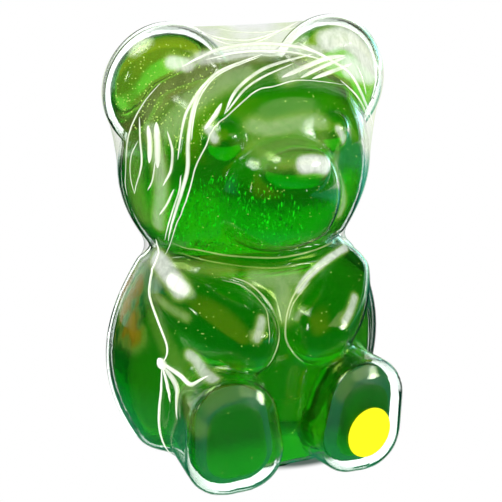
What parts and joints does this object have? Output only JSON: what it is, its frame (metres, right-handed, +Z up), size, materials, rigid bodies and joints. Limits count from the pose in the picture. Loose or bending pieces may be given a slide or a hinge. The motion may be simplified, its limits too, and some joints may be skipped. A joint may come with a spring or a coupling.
{
  "type": "giant gummy bear in a clear case",
  "caption": "Green translucent jelly bear, seated with arms on its belly and legs forward, sealed in a clear bear-shaped plastic case, with a round yellow sticker on a sole.",
  "frame": {"origin": "on the ground plane, under the middle of the whole object's box", "axes": "+Z up, the bear faces -Y, +X is the bear's own left"},
  "size_m": [0.1714, 0.1306, 0.2424],
  "materials": {
    "green_jelly": "translucent green gelatine jelly with a smooth moulded skin and small bubbles",
    "clear_case": "clear thermoformed sheet plastic, glossy, under clear shrink film",
    "clear_film": "clear glossy shrink film, pleated where it has gathered",
    "yellow_sticker": "plain bright yellow label paper with a faint gloss"
  },
  "bodies": {
    "root": {"gummy_bear": "green_jelly", "case_front": "clear_case", "case_back": "clear_case", "shrink_film": "clear_film", "sole_sticker": "yellow_sticker"}
  },
  "joints": []
}
